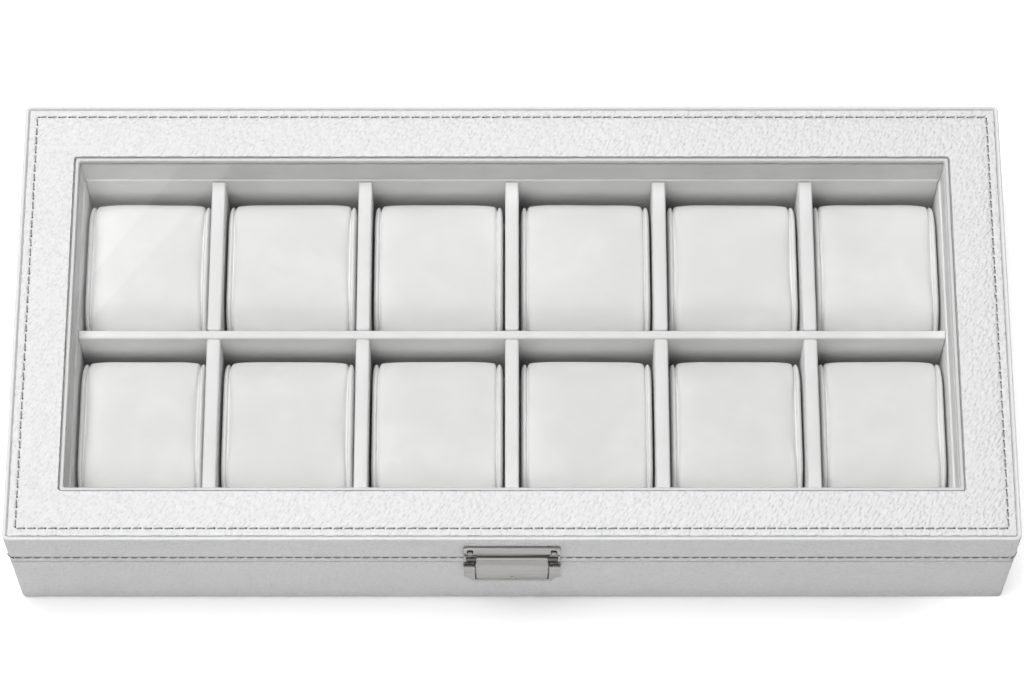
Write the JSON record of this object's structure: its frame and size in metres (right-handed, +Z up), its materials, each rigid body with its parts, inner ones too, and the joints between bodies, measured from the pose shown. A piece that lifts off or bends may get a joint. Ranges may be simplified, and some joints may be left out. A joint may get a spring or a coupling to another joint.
{
  "type": "watch display box",
  "caption": "Rectangular leather-covered watch display box with a hinged glass-window lid, a divided fabric tray, loose pillows and a front hasp latch.",
  "frame": {"origin": "middle of the underside", "axes": "+X to the right along the front, +Y from the front with the latch to the back with the hinges, +Z up"},
  "size_m": [0.4, 0.1979, 0.068],
  "materials": {
    "leather": "white pebbled leatherette, satin",
    "trim": "smooth white leatherette edging",
    "velvet": "off-white short-pile velvet on board",
    "pillow": "off-white suede-like velvet",
    "felt": "pale grey felt",
    "board": "plain fibreboard",
    "window_glass": "clear polished glass",
    "nickel": "satin nickel plate"
  },
  "bodies": {
    "box": {"base_felt": "felt", "base_leather_wrap": "leather", "base_board_front": "board", "base_board_back": "board", "base_board_left": "board", "base_board_right": "board", "base_board_bottom": "board", "lining_front": "velvet", "lining_back": "velvet", "lining_left": "velvet", "lining_right": "velvet", "lining_floor": "velvet", "long_divider": "velvet", "cross_divider_1": "velvet", "cross_divider_2": "velvet", "cross_divider_3": "velvet", "cross_divider_4": "velvet", "cross_divider_5": "velvet", "latch_lower_plate": "nickel", "latch_lower_screw_left": "nickel", "latch_lower_screw_right": "nickel", "hinge_left_body_leaf": "nickel", "hinge_left_pin": "nickel", "hinge_right_body_leaf": "nickel", "hinge_right_pin": "nickel"},
    "lid": {"lid_leather_wrap": "leather", "lid_panel": "leather", "lid_rail_front": "board", "lid_rail_back": "board", "lid_rail_left": "board", "lid_rail_right": "board", "lid_lining_front": "velvet", "lid_lining_back": "velvet", "lid_lining_left": "velvet", "lid_lining_right": "velvet", "window_trim": "trim", "glass_pane": "window_glass", "latch_upper_plate": "nickel", "latch_upper_screw_left": "nickel", "latch_upper_screw_right": "nickel", "latch_pin": "nickel", "hinge_left_lid_leaf": "nickel", "hinge_right_lid_leaf": "nickel"},
    "latch_flap": {"latch_flap": "nickel"},
    "pillow_front_1": {"pillow_front_1": "pillow"},
    "pillow_front_2": {"pillow_front_2": "pillow"},
    "pillow_front_3": {"pillow_front_3": "pillow"},
    "pillow_front_4": {"pillow_front_4": "pillow"},
    "pillow_front_5": {"pillow_front_5": "pillow"},
    "pillow_front_6": {"pillow_front_6": "pillow"},
    "pillow_back_1": {"pillow_back_1": "pillow"},
    "pillow_back_2": {"pillow_back_2": "pillow"},
    "pillow_back_3": {"pillow_back_3": "pillow"},
    "pillow_back_4": {"pillow_back_4": "pillow"},
    "pillow_back_5": {"pillow_back_5": "pillow"},
    "pillow_back_6": {"pillow_back_6": "pillow"}
  },
  "joints": [
    {"name": "lid_hinge", "type": "hinge", "parent": "box", "child": "lid", "pos_m": [0, 0.09695, 0.04335], "axis": [-1, 0, 0], "range_deg": [0, 105]},
    {"name": "latch_flap_hinge", "type": "hinge", "parent": "lid", "child": "latch_flap", "pos_m": [0, -0.0969, 0.05125], "axis": [-1, 0, 0], "range_deg": [0, 90]},
    {"name": "pillow_front_1_lift", "type": "slide", "parent": "box", "child": "pillow_front_1", "axis": [0, 0, 1], "range_m": [0, 0.016]},
    {"name": "pillow_front_2_lift", "type": "slide", "parent": "box", "child": "pillow_front_2", "axis": [0, 0, 1], "range_m": [0, 0.016]},
    {"name": "pillow_front_3_lift", "type": "slide", "parent": "box", "child": "pillow_front_3", "axis": [0, 0, 1], "range_m": [0, 0.016]},
    {"name": "pillow_front_4_lift", "type": "slide", "parent": "box", "child": "pillow_front_4", "axis": [0, 0, 1], "range_m": [0, 0.016]},
    {"name": "pillow_front_5_lift", "type": "slide", "parent": "box", "child": "pillow_front_5", "axis": [0, 0, 1], "range_m": [0, 0.016]},
    {"name": "pillow_front_6_lift", "type": "slide", "parent": "box", "child": "pillow_front_6", "axis": [0, 0, 1], "range_m": [0, 0.016]},
    {"name": "pillow_back_1_lift", "type": "slide", "parent": "box", "child": "pillow_back_1", "axis": [0, 0, 1], "range_m": [0, 0.016]},
    {"name": "pillow_back_2_lift", "type": "slide", "parent": "box", "child": "pillow_back_2", "axis": [0, 0, 1], "range_m": [0, 0.016]},
    {"name": "pillow_back_3_lift", "type": "slide", "parent": "box", "child": "pillow_back_3", "axis": [0, 0, 1], "range_m": [0, 0.016]},
    {"name": "pillow_back_4_lift", "type": "slide", "parent": "box", "child": "pillow_back_4", "axis": [0, 0, 1], "range_m": [0, 0.016]},
    {"name": "pillow_back_5_lift", "type": "slide", "parent": "box", "child": "pillow_back_5", "axis": [0, 0, 1], "range_m": [0, 0.016]},
    {"name": "pillow_back_6_lift", "type": "slide", "parent": "box", "child": "pillow_back_6", "axis": [0, 0, 1], "range_m": [0, 0.016]}
  ]
}
